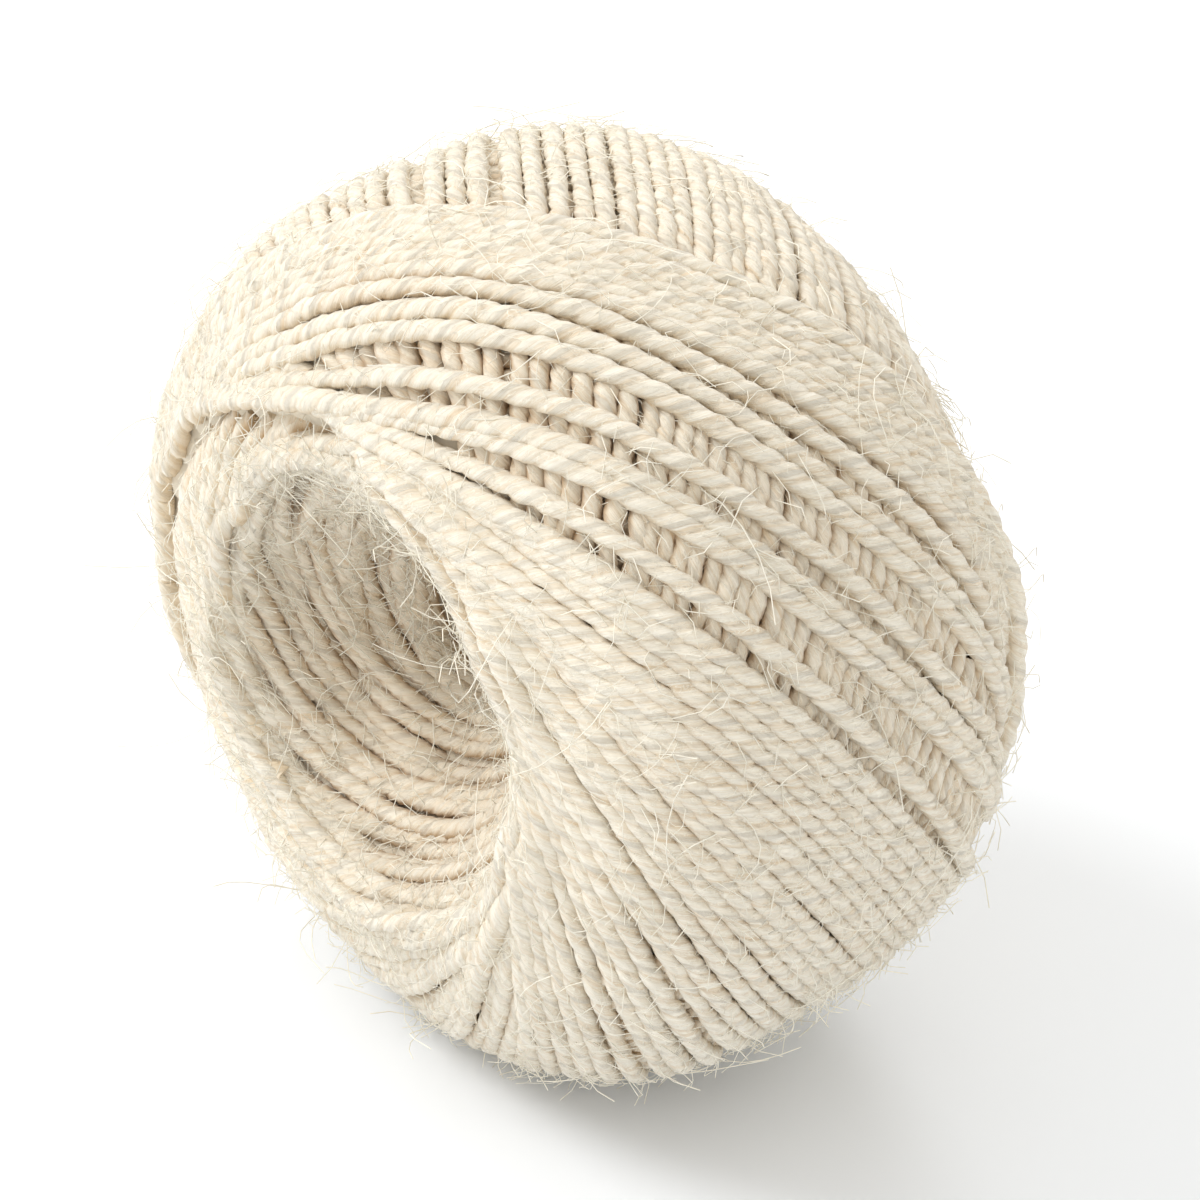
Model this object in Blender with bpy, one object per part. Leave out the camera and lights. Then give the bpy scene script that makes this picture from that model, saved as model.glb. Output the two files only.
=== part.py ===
# Ball of jute twine, wound by machine on a thin spindle and lying on its side.
# Metres, +Z up. The winding axis runs along Y, and the face with the better seen hole looks to -Y.
# The origin is at the middle of the ball's footprint, on the surface that it rests on.
# One solid: a barrel-shaped winding with a funnel at each face and a pull hole between them,
# its turns raised in pairs. The turns climb from the +Y face to the -Y face on one half of the ball
# and fall back on the other half, and the last turn parts the two halves with a small step.

import math

import bmesh
import bpy

PART_NAME = "jute_twine_ball"
NODE_NAME = "wound_ball"

# Outer form
BELT_RADIUS = 0.0405
HALF_WIDTH = 0.0230
PROFILE_POWER = 3.73

# Centre hole: a funnel at each face, and the straight hole that the spindle leaves
RIM_RADIUS = 0.0199
HOLE_RADIUS = 0.0057
HOLE_HALF_LENGTH = 0.0060
FUNNEL_RINGS = 4
FUNNEL_RING_RISE = 0.0005

# Turns: one raised twist is a pair of turns, and its path is set where it crosses the belt
TWISTS = 40
TWIST_DEPTH = 0.0010
BELT_CROSSING_ANGLE = math.radians(42.0)
SHALLOW_FROM = math.radians(48.0)

# The last turn: where it climbs across the belt (from +X towards +Z), its tilt, and the step
# beside it with the width over which it falls
LAST_TURN_AZIMUTH = math.radians(70.0)
LAST_TURN_TILT = math.radians(32.0)
LAST_TURN_STEP = 0.0014
LAST_TURN_FALL_WIDTH = 0.0030

# Rest: how much of the roundness is pressed flat under the ball
REST_SAG = 0.0009

COLUMNS = 2 * TWISTS
STEP = 2.0 * math.pi / COLUMNS
TOP_LEVEL = COLUMNS // 4
SKIPPED_LEVELS = (TOP_LEVEL - 1, TOP_LEVEL - 2)
FUNNEL_COLUMNS = COLUMNS // 2
FUNNEL_ROWS = 2 * FUNNEL_RINGS

CREASE_ANGLE = math.radians(24.0)
CREAM = (0.80, 0.71, 0.56, 1.0)


def clear_scene():
    for item in list(bpy.data.objects):
        bpy.data.objects.remove(item, do_unlink=True)


def face_height(radius):
    """Half width of the barrel at a given radius from the winding axis."""
    return HALF_WIDTH * (1.0 - (radius / BELT_RADIUS) ** PROFILE_POWER) ** (1.0 / PROFILE_POWER)


def turn_slope(phase):
    """Height over radius of a turn, a given phase after it crosses the belt."""
    belt_part = math.tan(BELT_CROSSING_ANGLE)
    rim_part = face_height(RIM_RADIUS) / RIM_RADIUS - belt_part
    return belt_part * math.sin(phase) + rim_part * math.sin(phase) ** 3


def profile_point(phase):
    """Radius and height on the barrel where a turn passes at this phase."""
    slope = turn_slope(phase)
    inverse = BELT_RADIUS ** -PROFILE_POWER + (abs(slope) / HALF_WIDTH) ** PROFILE_POWER
    radius = inverse ** (-1.0 / PROFILE_POWER)
    return radius, slope * radius


def profile_normal(radius, height):
    """Outward direction of the barrel, as parts along the radius and along the height."""
    out_part = radius ** (PROFILE_POWER - 1.0) / BELT_RADIUS ** PROFILE_POWER
    up_part = abs(height) ** (PROFILE_POWER - 1.0) / HALF_WIDTH ** PROFILE_POWER
    length = math.hypot(out_part, up_part)
    return out_part / length, math.copysign(up_part / length, height)


def over_last_turn(azimuth, phase):
    """Height over the last turn's plane; the climbing turns lie on top where it is positive."""
    radius, height = profile_point(phase)
    plane = math.tan(LAST_TURN_TILT) * math.sin(azimuth - LAST_TURN_AZIMUTH)
    return (height - plane * radius) * math.cos(LAST_TURN_TILT)


def turned_under(age):
    """Depth of a turn under the newest one, as a share that is full after half a revolution."""
    return min(age % (2.0 * math.pi), math.pi) / math.pi


def fall(azimuth, phase):
    """Depth of the winding under its newest turns, with the step beside the last turn eased."""
    climbing = turned_under(LAST_TURN_AZIMUTH - azimuth + phase)
    falling = turned_under(LAST_TURN_AZIMUTH + math.pi - azimuth - phase)
    share = min(max(over_last_turn(azimuth, phase) / LAST_TURN_FALL_WIDTH + 0.5, 0.0), 1.0)
    return LAST_TURN_STEP * (climbing * share + falling * (1.0 - share)) * relief(phase)


def relief(phase):
    """Share of the relief that is left at a phase: the turns crowd together towards the rim."""
    return min(1.0, math.cos(phase) / math.cos(SHALLOW_FROM))


def rest_height():
    """Height of the winding axis over the surface."""
    return BELT_RADIUS - fall(-math.pi / 2.0, 0.0) - REST_SAG


def place(azimuth, radius, height, axis_height):
    return (radius * math.cos(azimuth), -height, axis_height + radius * math.sin(azimuth))


def rest_on_surface(point, under):
    """Presses what would reach the surface flat: the point itself, or the even barrel over it."""
    if point[2] < 0.0 or under[2] < 0.0:
        return (point[0], point[1], 0.0)
    return point


def barrel_vertex(column, level, axis_height):
    azimuth = column * STEP
    phase = level * STEP
    radius, height = profile_point(phase)
    out_part, up_part = profile_normal(radius, height)
    depth = fall(azimuth, phase)
    even = place(azimuth, radius - out_part * depth, height - up_part * depth, axis_height)
    if (column + level) % 2 == 0:
        return rest_on_surface(even, even)
    depth += TWIST_DEPTH * relief(phase)
    groove = place(azimuth, radius - out_part * depth, height - up_part * depth, axis_height)
    return rest_on_surface(groove, even)


def barrel_rings(mesh, axis_height):
    levels = [n for n in range(-TOP_LEVEL, TOP_LEVEL + 1) if abs(n) not in SKIPPED_LEVELS]
    rings = []
    for level in levels:
        rings.append([mesh.verts.new(barrel_vertex(n, level, axis_height)) for n in range(COLUMNS)])
    return levels, rings


def skin_barrel(mesh, levels, rings):
    """Two triangles a cell, cut along the turns that lie on top there."""
    for row in range(len(rings) - 1):
        lower, upper = rings[row], rings[row + 1]
        middle = 0.5 * (levels[row] + levels[row + 1]) * STEP
        for n in range(COLUMNS):
            m = (n + 1) % COLUMNS
            if over_last_turn((n + 0.5) * STEP, middle) > 0.0:
                mesh.faces.new((lower[n], lower[m], upper[m]))
                mesh.faces.new((lower[n], upper[m], upper[n]))
            else:
                mesh.faces.new((lower[n], lower[m], upper[n]))
                mesh.faces.new((lower[m], upper[m], upper[n]))


def funnel_rings(mesh, side, axis_height):
    """Rings of one funnel from just inside the rim down to the straight hole; side is 1 or -1."""
    rim_height = face_height(RIM_RADIUS)
    run = RIM_RADIUS - HOLE_RADIUS
    depth = rim_height - HOLE_HALF_LENGTH
    length = math.hypot(run, depth)
    rings = []
    for row in range(1, FUNNEL_ROWS + 1):
        share = row / FUNNEL_ROWS
        rise = FUNNEL_RING_RISE if row % 2 == 1 else 0.0
        radius = RIM_RADIUS - run * share - rise * depth / length
        height = rim_height - depth * share + rise * run / length
        ring = []
        for n in range(FUNNEL_COLUMNS):
            azimuth = 2.0 * n * STEP
            ring.append(mesh.verts.new(place(azimuth, radius, side * height, axis_height)))
        rings.append(ring)
    return rings


def skin_rim(mesh, rim, first):
    """Joins a rim ring to the first funnel ring, which has half as many points."""
    for n in range(FUNNEL_COLUMNS):
        m = (n + 1) % FUNNEL_COLUMNS
        start, middle, end = rim[2 * n], rim[2 * n + 1], rim[(2 * n + 2) % COLUMNS]
        mesh.faces.new((start, middle, first[n]))
        mesh.faces.new((middle, first[m], first[n]))
        mesh.faces.new((middle, end, first[m]))


def skin_hole(mesh, rings):
    for one, two in zip(rings[:-1], rings[1:]):
        for n in range(FUNNEL_COLUMNS):
            m = (n + 1) % FUNNEL_COLUMNS
            mesh.faces.new((one[n], one[m], two[m]))
            mesh.faces.new((one[n], two[m], two[n]))


def twine_material():
    material = bpy.data.materials.new("cream_jute")
    material.use_nodes = True
    shader = material.node_tree.nodes["Principled BSDF"]
    shader.inputs["Base Color"].default_value = CREAM
    shader.inputs["Roughness"].default_value = 0.92
    shader.inputs["Metallic"].default_value = 0.0
    return material


def wound_ball():
    axis_height = rest_height()
    mesh = bmesh.new()
    levels, barrel = barrel_rings(mesh, axis_height)
    skin_barrel(mesh, levels, barrel)
    near = funnel_rings(mesh, 1.0, axis_height)
    far = funnel_rings(mesh, -1.0, axis_height)
    skin_rim(mesh, barrel[-1], near[0])
    skin_rim(mesh, barrel[0], far[0])
    skin_hole(mesh, near + far[::-1])
    bmesh.ops.recalc_face_normals(mesh, faces=mesh.faces)
    data = bpy.data.meshes.new(NODE_NAME)
    mesh.to_mesh(data)
    mesh.free()
    data.shade_smooth()
    data.set_sharp_from_angle(angle=CREASE_ANGLE)
    data.materials.append(twine_material())
    return bpy.data.objects.new(NODE_NAME, data)


def main():
    clear_scene()
    parts = bpy.data.collections.new(PART_NAME)
    bpy.context.scene.collection.children.link(parts)
    parts.objects.link(wound_ball())


main()
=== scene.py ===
import math

import bpy
import numpy as np
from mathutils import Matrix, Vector


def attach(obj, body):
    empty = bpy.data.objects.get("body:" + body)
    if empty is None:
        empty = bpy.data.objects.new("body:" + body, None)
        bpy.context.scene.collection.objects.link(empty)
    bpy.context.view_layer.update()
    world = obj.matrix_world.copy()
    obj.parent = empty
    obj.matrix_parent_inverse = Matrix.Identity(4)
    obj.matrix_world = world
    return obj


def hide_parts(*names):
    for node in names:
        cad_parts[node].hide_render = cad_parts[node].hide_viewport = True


# Looks of a ball of cream jute twine lying on its side. Metres and radians, +Z up.
# The twine is wound here turn by turn over a growing ball, and only what stays in sight is kept.

BALL_NODE = "wound_ball"
SEED = 20
# Random phases are drawn between 0 and this
ANY_PHASE = 6.3

# Outer form, as in the frame
BELT_RADIUS = 0.0405
HALF_WIDTH = 0.0230
PROFILE_POWER = 3.73
AXIS_HEIGHT = 0.03836
RIM_RADIUS = 0.0199
HOLE_RADIUS = 0.0057
HOLE_HALF_LENGTH = 0.0060

# Twine: two plies laid together, left-handed
TWINE_RADIUS = 0.00090
TWINE_FULLNESS = 1.07
TWINE_LAY = 0.0048
TWINE_SIDES = 8
PLY_GROOVE = 0.20
RIDGE_POWER = 0.75
TWINE_LUMPS = 0.00022
LUMP_SCALE = 800.0
SLUB_LENGTH = 0.006
SLUB_SHARE = 0.07

# Winding: the last turn crosses the belt at this azimuth, from +X towards +Z
LAST_TURN_AZIMUTH = math.radians(71.0)
REVOLUTIONS = 2.0
TURN_POINTS = 1600
WINDING_STRIDE = 5
WOBBLE = math.radians(0.25)
WOBBLE_WAVES = (3, 7, 12)

# Tilt of a turn by its age. Columns: degrees that the ball has turned since the turn was laid,
# the angle at which it crosses the belt, the latitude that it reaches
TURN_TILTS = (
    (0.0, 36.0, 28.5),
    (12.0, 35.0, 32.0),
    (28.0, 34.5, 35.5),
    (38.0, 35.5, 37.5),
    (56.0, 38.0, 39.7),
    (80.0, 37.5, 42.5),
    (105.0, 37.0, 44.6),
    (140.0, 37.0, 45.4),
    (300.0, 38.0, 46.2),
    (2000.0, 39.0, 46.6),
)
# Chance in the latitude that a turn reaches: its spread, the age from which all of the spread
# counts, the share that the newest turns have, and the highest latitude of all. Degrees
TOP_SPREAD = 2.3
FULL_SPREAD_AGE = 90.0
NEWEST_SPREAD = 0.15
HIGHEST_TOP = 48.1

# Groups of newest turns. Columns: age of the newest turn of the group, turns, spacing in degrees
TURN_GROUPS = (
    (0.0, 6, 2.9),
    (17.6, 1, 3.0),
    (24.8, 1, 3.0),
    (31.4, 2, 3.5),
    (48.0, 3, 3.4),
    (68.2, 1, 3.0),
    (72.0, 8, 3.2),
    (98.8, 4, 3.2),
    (113.5, 4, 4.1),
    (133.5, 3, 4.2),
    (149.0, 7, 4.3),
)
# Groups of older turns: turns in a group, their spacing and its scatter, the gap after a group
OLD_GROUP_TURNS = (2, 6)
OLD_GROUP_SPACING = 3.2
OLD_GROUP_SCATTER = 0.25
OLD_GROUP_GAP = (3.4, 5.2)
NEXT_TURN_STEP = 4.0

# Height field of the winding about the ball's centre
CELL = math.radians(0.25)
HIGHEST_LATITUDE = math.radians(51.0)
FIELD_COLUMNS = int(round(2.0 * math.pi / CELL))
FIELD_ROWS = int(round(2.0 * HIGHEST_LATITUDE / CELL)) + 1

# How a turn comes to rest: the width over which it touches the turns below and the width that it
# covers, how deep it beds in by the angle at which it crosses them, and how taut it is pulled
TOUCH_WIDTH = 0.62
TOUCH_SPOTS = 7
COVER_WIDTH = 0.98
COVER_SPOTS = 15
BEDDING_ANGLES = (math.radians(8.0), math.radians(45.0))
BEDDING_SHARES = (0.17, 0.60)
TAUTNESS = 0.78
TAUT_ROUNDS = 3
TAUT_SPANS = (64, 32, 16, 8, 4, 2)
REACH_SMOOTHING = 5

# Winding to size: depth of the first turns, fall of the mean top under the barrel, and how softly
# and up to which latitude the whole is evened
FIRST_DEPTH = 0.0045
MEAN_FALL = 0.0011
SIZE_ROUNDS = 3
FORM_SHARE = 0.9
SHIFT_SMOOTHING = 9
EVEN_AZIMUTH = math.radians(5.0)
EVEN_LATITUDE = math.radians(2.5)
EVEN_BELOW = math.radians(43.5)

# What stays in sight: spots across the twine that may show, fall of the usual top under the
# barrel, how deep under that a turn may lie, and how the stretches that show are cut
SIGHT_SHARES = (-0.8, -0.55, -0.3, 0.0, 0.3, 0.55, 0.8)
SIGHT_TOLERANCE = 0.00006
TOP_FALL = 0.0006
DEEPEST_IN_SIGHT = 0.0030
DEEPEST_AT_RIM = -0.0002
RIM_LATITUDES = (math.radians(43.0), math.radians(46.5))
STRETCH_MARGIN = 6
SHORTEST_STRETCH = 14
LOWEST_CENTRE = 0.7 * TWINE_RADIUS
# Depth under the usual top at which the painted shade of sunk twine is full
SUNK_DEPTH = 0.0026
TONE_STEP = 0.618
PIECE_POINTS = 9000

# Profile that runs over the face and the lip and down the wall of the hole
FACE_STEP = 0.0003
FACE_STEPS = 27.0
FACE_POINTS = 10
WALL_SHARES = (0.05, 1.15)
WALL_POINTS = 23
PROFILE_POINTS = 400
LIP_ROUNDING = 0.0012

# Height field of a wall. Swells: waves round the hole, length of a wave down the wall
WALL_COLUMNS = 1080
WALL_CELL = 0.00015
WALL_BASE = -1.45 * TWINE_RADIUS
WALL_SWELL = 0.8 * TWINE_RADIUS
WALL_SWELLS = ((2, 0.011), (3, 0.007), (5, 0.009))
LIP_UNDER = -0.3 * TWINE_RADIUS
LIP_SURPLUS_FROM = 0.0022
LIP_SURPLUS_WIDTH = 0.001
LIP_SURPLUS_REACH = 0.012
LIP_SMOOTHING = WALL_COLUMNS // 36

# Walls of the hole. Columns: share of the way down where the turns start and end, their fall in degrees,
# how many there are, their painted shade, which grows further down the wall
WALL_BANDS = (
    (0.45, 1.03, 24.0, 23, 0.42),
    (0.24, 0.60, 22.0, 26, 0.40),
    (0.05, 0.36, 24.0, 32, 0.26),
    (-0.05, 0.13, 9.0, 13, 0.06),
)
WALL_SHADE_RISE = 0.45
STEEPEST_WALL_AZIMUTH = math.radians(160.0)
MEAN_STEEPNESS = 0.72
STEEPNESS_SWING = 0.28
FALL_SCATTER = (0.88, 1.12)
WALL_START_SCATTER = 0.25
WALL_OVERRUN = 4.0 * TWINE_RADIUS
WALL_WANDER = 0.012
WANDER_WAVES = (4.0, 8.0)

# Turns over the lip, on the open side of the hole: share of the way down, fall, count, and the
# azimuths from which and up to which they show from under the newest turns of the -Y face
LIP_BAND = (-0.10, 0.15, 8.0, 18)
LIP_AZIMUTHS = (math.radians(72.0), math.radians(324.0))
LIP_START_SCATTER = 0.3
LIP_LEAD = 0.3
# Painted shade of the turns over the lip grows with the way down at this rate
LIP_SHADE_RISE = 0.5
SHORTEST_LIP_TURN = 12

# Twine on the walls: its points, how it rises and falls, and how its ends dive under the others
WALL_STEP = 0.0010
WALL_TOUCH_SPOTS = 5
WALL_COVER_SPOTS = 11
WALL_SMOOTHING = 5
WALL_SIGHT_SHARES = (-0.8, -0.4, 0.0, 0.4, 0.8)
WALL_SIGHT_TOLERANCE = 0.00008
WALL_STRETCH_MARGIN = 3
WALL_SHORTEST_STRETCH = 5
WALL_RELIEF = 0.45 * TWINE_RADIUS
WALL_SLUB_SHARE = 0.05
WALL_GROOVE = 0.11
WALL_LUMPS = 0.00014
DIVE_LENGTH = 6.0 * TWINE_RADIUS
DIVE_DEPTH = 3.4 * TWINE_RADIUS

# Older winding under the turns in sight
CORE_COLUMNS = 180
CORE_ROWS = 59
CORE_LATITUDE = math.radians(44.0)
CORE_ROW_REACH = 4
CORE_PERCENTILE = 6.0
CORE_UNDER = 1.25 * TWINE_RADIUS
CORE_UNDER_WALL = 0.55 * TWINE_RADIUS
CORE_WALL = (-0.0005, 0.0015, 0.005, 0.010, 0.016, 0.0215)

# Colours. Honey, brown and umber, and tan in part, are painted shade on the twine
PALE = (0.94, 0.895, 0.79, 1.0)
CREAM = (0.86, 0.79, 0.655, 1.0)
TAN = (0.66, 0.47, 0.26, 1.0)
FLANK_SHADE_HONEY = (0.82, 0.64, 0.39, 1.0)
DEPTH_SHADE_BROWN = (0.60, 0.41, 0.21, 1.0)
DEEP_FLANK_SHADE_UMBER = (0.54, 0.34, 0.16, 1.0)
HAIR = (0.97, 0.93, 0.81, 1.0)
LOOSE_FIBRE = (0.98, 0.94, 0.82, 1.0)
FLOOR = (0.87, 0.90, 0.94, 1.0)
SKY = (1.0, 0.975, 0.93, 1.0)
LAMP = (0.99, 0.99, 1.0)

# Tints over the cream of the twine, in order. Columns: mask, its value where the tint starts and where it
# is full, strength, colour. Tone, clumps and hairs are the twine's own colour; the ridge, facing and deep
# rows are painted shade: in the grooves between the plies, on the flanks turned away from the outside,
# and on twine that lies sunk
STREAK_RANGE = (0.40, 0.60)
TWINE_TINTS_AND_PAINTED_SHADE = (
    ("tone", 0.45, 1.0, 0.35, CREAM),
    ("clumps", 0.5, 0.72, 0.5, TAN),
    # Painted shade in the grooves between the two plies
    ("ridge", 0.6, 0.05, 0.26, TAN),
    ("hairs", 0.0, 1.0, 0.6, HAIR),
    # Painted shade on the flanks of the twine: honey as they turn sideways, tan where they turn inwards
    ("facing", 0.5, 0.0, 0.32, FLANK_SHADE_HONEY),
    ("facing", 0.0, -0.5, 0.3, TAN),
    # Painted shade on twine that lies deep in the gaps and down the hole
    ("deep", 0.12, 0.9, 0.42, DEPTH_SHADE_BROWN),
)
# Painted shade: flanks of twine that lies deep are mixed towards umber, by facing, by depth and up to a
# strength
SHADED_FACING = (0.8, 0.2)
SHADED_DEEP = (0.05, 0.4)
SHADED_STRENGTH = 0.8

# Fibre streaks in the twine: fineness round it, pitch along it, shift from one turn to the next
STREAK_FINENESS = 5.5
STREAK_PITCH = 420.0
STREAK_SHIFT = 57.0
CLUMP_SCALE = 0.28
HAIR_FINENESS = 0.9
HAIR_PITCH = 550.0
HAIR_SHIFT = 91.0
HAIR_LEVELS = (0.42, 0.5, 0.58)
HAIR_WIDTHS = (0.006, 0.016)
TWINE_ROUGHNESS = 0.82
TWINE_SHEEN = 0.25
TWINE_BUMP = 0.00022

# Plain materials: a fine mottle
MOTTLE_SCALE = 900.0
MOTTLE_SHADE = 0.88
MOTTLE_RANGE = (0.35, 0.65)
PLAIN_ROUGHNESS = 0.9

# Loose fibres. Columns: name, fibres per square metre of twine in sight, length, segments,
# greatest rise off the twine as a share of the length, curl, how far they follow the ball's
# surface and not the twine's
FIBRE_KINDS = (
    ("fuzz", 0.40e6, 0.0028, 2, 0.30, 1.0, 0.4),
    ("fibres", 0.040e6, 0.0052, 5, 0.14, 2.0, 1.0),
)
FIBRE_FORMS = 9
FIBRE_RADIUS = 0.000040
FIBRE_LEAST_RISE = 0.03
FIBRE_ROOT = -0.02
FIBRE_SIZES = (0.35, 1.25)
FIBRE_SIZE_POWER = 1.6
FIBRE_SIZE_SEED = 7
FIBRE_FORM_SEED = 3
HOLE_FIBRE_SHARE = 1.5
OPEN_SIDE = 0.4

# Camera and lights. A light's columns: name, place, size, power
CAMERA_WAY = (0.652, -0.542, 0.530)
CAMERA_DISTANCE = 0.2966
CAMERA_SENSOR = 36.0
CAMERA_ANGLE = math.radians(19.46)
CAMERA_SHIFT = (0.0258, 0.0033)
CAMERA_CLIP = 0.01
LIGHTS = (
    ("key", (-0.62, -0.55, 0.86), 0.5, 7.2),
    ("rim", (-0.60, 0.65, 0.90), 0.5, 2.4),
)
SKY_STRENGTH = 0.96
FLOOR_HALF = 3.0
FLOOR_ROUGHNESS = 0.8


def unit(vectors):
    return vectors / np.linalg.norm(vectors, axis=-1, keepdims=True)


def barrel_reach(latitude):
    """Distance from the ball's centre to the barrel at a latitude."""
    out_part = (np.cos(latitude) / BELT_RADIUS) ** PROFILE_POWER
    up_part = (np.abs(np.sin(latitude)) / HALF_WIDTH) ** PROFILE_POWER
    return (out_part + up_part) ** (-1.0 / PROFILE_POWER)


def face_height(radius):
    return HALF_WIDTH * (1.0 - (radius / BELT_RADIUS) ** PROFILE_POWER) ** (1.0 / PROFILE_POWER)


def to_world(points):
    """From the ball's own axes (X, up, towards the -Y face) to the scene."""
    return np.stack([points[..., 0], -points[..., 2], points[..., 1] + AXIS_HEIGHT], axis=-1)


def directions(azimuth, latitude):
    azimuth, latitude = np.broadcast_arrays(azimuth, latitude)
    flat = np.cos(latitude)
    return np.stack([flat * np.cos(azimuth), flat * np.sin(azimuth), np.sin(latitude)], axis=-1)


def turn_ages(rng):
    """Ages of the turns, oldest first, in degrees of the ball's own turning."""
    ages = []
    for newest, count, spacing in TURN_GROUPS:
        ages += [newest + spacing * n for n in range(count)]
    age = ages[-1] + OLD_GROUP_SPACING
    while age < REVOLUTIONS * 360.0:
        for _ in range(rng.integers(*OLD_GROUP_TURNS)):
            ages.append(age)
            age += OLD_GROUP_SPACING + rng.normal(0.0, OLD_GROUP_SCATTER)
        age += rng.uniform(*OLD_GROUP_GAP) - OLD_GROUP_SPACING
    return np.array(sorted(ages, reverse=True))


def turn_path(age, next_age, lean, next_lean, rng):
    """Azimuth and latitude along one turn, which drifts on to where the next one starts."""
    phase = np.linspace(-0.5 * math.pi, 1.5 * math.pi, TURN_POINTS, endpoint=False)
    now = np.linspace(age, next_age, TURN_POINTS, endpoint=False)
    ages, belts, tops = np.array(TURN_TILTS).T
    belt = np.tan(np.radians(np.interp(now, ages, belts)))
    spread = np.clip(now / FULL_SPREAD_AGE, NEWEST_SPREAD, 1.0)
    leaning = np.linspace(lean, next_lean, TURN_POINTS, endpoint=False) * spread
    top = np.tan(np.radians(np.minimum(np.interp(now, ages, tops) + leaning, HIGHEST_TOP)))
    slope = belt * np.sin(phase) + (top - belt) * np.sin(phase) ** 3
    wobble = np.zeros(TURN_POINTS)
    for waves in WOBBLE_WAVES:
        strength = rng.normal(0.0, 1.0)
        wobble += strength * np.sin(waves * phase + rng.uniform(0.0, ANY_PHASE)) / math.sqrt(waves)
    azimuth = LAST_TURN_AZIMUTH - np.radians(now) + phase
    return azimuth, np.arctan(slope) + WOBBLE * wobble * np.cos(phase) ** 2


class Field:
    """Height that the twine reaches in every cell, and which way the topmost twine runs there."""

    def lay(self, cells, heights, heading):
        flat_cells = cells.ravel()
        before = self.height[flat_cells]
        np.maximum.at(self.height, flat_cells, heights.ravel())
        raised = self.height[flat_cells] > before
        self.heading[flat_cells[raised]] = np.broadcast_to(heading, cells.shape).ravel()[raised]

    def rest(self, cells, touch, heading):
        """Height of a twine's centre where it rests, bedded in between the turns below."""
        turned = np.abs(self.heading[cells] - heading[None]) % math.pi
        crossing = np.nan_to_num(np.minimum(turned, math.pi - turned), nan=math.pi / 2.0)
        share = np.interp(crossing, BEDDING_ANGLES, BEDDING_SHARES)
        lift = np.sqrt(TWINE_RADIUS ** 2 - touch ** 2)[:, None]
        return (self.height[cells] + lift - 2.0 * TWINE_RADIUS * (1.0 - share)).max(axis=0)


def field_latitudes():
    return np.linspace(-HIGHEST_LATITUDE, HIGHEST_LATITUDE, FIELD_ROWS)


class Surface(Field):
    """Top of the winding over every direction from the ball's centre."""

    def __init__(self, depth):
        self.height = (barrel_reach(field_latitudes())[:, None] - depth).ravel()
        self.heading = np.full(self.height.size, np.nan)

    def cells(self, points):
        azimuth = np.arctan2(points[..., 1], points[..., 0])
        latitude = np.arctan2(points[..., 2], np.hypot(points[..., 0], points[..., 1]))
        column = np.rint(azimuth / CELL).astype(int) % FIELD_COLUMNS
        row = np.rint((latitude + HIGHEST_LATITUDE) / CELL).astype(int)
        return np.clip(row, 0, FIELD_ROWS - 1) * FIELD_COLUMNS + column


def pull_taut(reach, step_angle):
    """The twine spans hollows in straight lines, as a string under tension does."""
    taut = reach.copy()
    for _ in range(TAUT_ROUNDS):
        for span in TAUT_SPANS:
            ahead = 1.0 / np.roll(taut, -span) + 1.0 / np.roll(taut, span)
            taut = np.maximum(taut, 2.0 * math.cos(span * step_angle) / ahead)
    return taut


def smoothed(values, width):
    """Running mean along a closed row, twice over."""
    window = np.ones(width) / width
    for _ in range(2):
        padded = np.concatenate([values[-width:], values, values[:width]])
        values = np.convolve(padded, window, mode="same")[width:-width]
    return values


def across(azimuth, latitude):
    """Direction of a turn's points, the sideways direction, and the heading of the twine there."""
    out = directions(azimuth, latitude)
    points = out * barrel_reach(latitude)[:, None]
    along = unit(np.gradient(points, axis=0))
    sideways = unit(np.cross(out, along))
    east = np.stack([-np.sin(azimuth), np.cos(azimuth), np.zeros_like(azimuth)], axis=-1)
    north = np.cross(out, east)
    heading = np.arctan2((along * north).sum(-1), (along * east).sum(-1))
    return out, sideways, heading


def lay_turn(surface, azimuth, latitude):
    """Distance of the twine's centre from the ball's centre, once it rests on the winding."""
    out, sideways, heading = across(azimuth, latitude)
    guess = out * barrel_reach(latitude)[:, None]
    touch = TWINE_RADIUS * TOUCH_WIDTH * np.linspace(-1.0, 1.0, TOUCH_SPOTS)
    cells = surface.cells(guess[None] + touch[:, None, None] * sideways[None])
    resting = surface.rest(cells, touch, heading)
    taut = pull_taut(resting, 2.0 * math.pi / TURN_POINTS)
    reach = smoothed(resting + TAUTNESS * (taut - resting), REACH_SMOOTHING)
    cover = TWINE_RADIUS * np.linspace(-COVER_WIDTH, COVER_WIDTH, COVER_SPOTS)
    cells = surface.cells(out[None] * reach[None, :, None] + cover[:, None, None] * sideways[None])
    tops = reach[None] + np.sqrt(TWINE_RADIUS ** 2 - cover ** 2)[:, None]
    surface.lay(cells, tops, heading[None])
    return out, sideways, reach


def wind(ages, depth):
    """Lays every turn, oldest first."""
    rng = np.random.default_rng(SEED)
    surface = Surface(depth)
    outs, sides, reaches = [], [], []
    leans = TOP_SPREAD * rng.normal(size=len(ages) + 1)
    next_ages = np.append(ages[1:], ages[-1] - NEXT_TURN_STEP)
    for number, (age, next_age) in enumerate(zip(ages, next_ages)):
        path = turn_path(age, next_age, leans[number], leans[number + 1], rng)
        out, sideways, reach = lay_turn(surface, *path)
        outs.append(out)
        sides.append(sideways)
        reaches.append(reach)
    return surface, np.concatenate(outs), np.concatenate(sides), np.concatenate(reaches)


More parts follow.
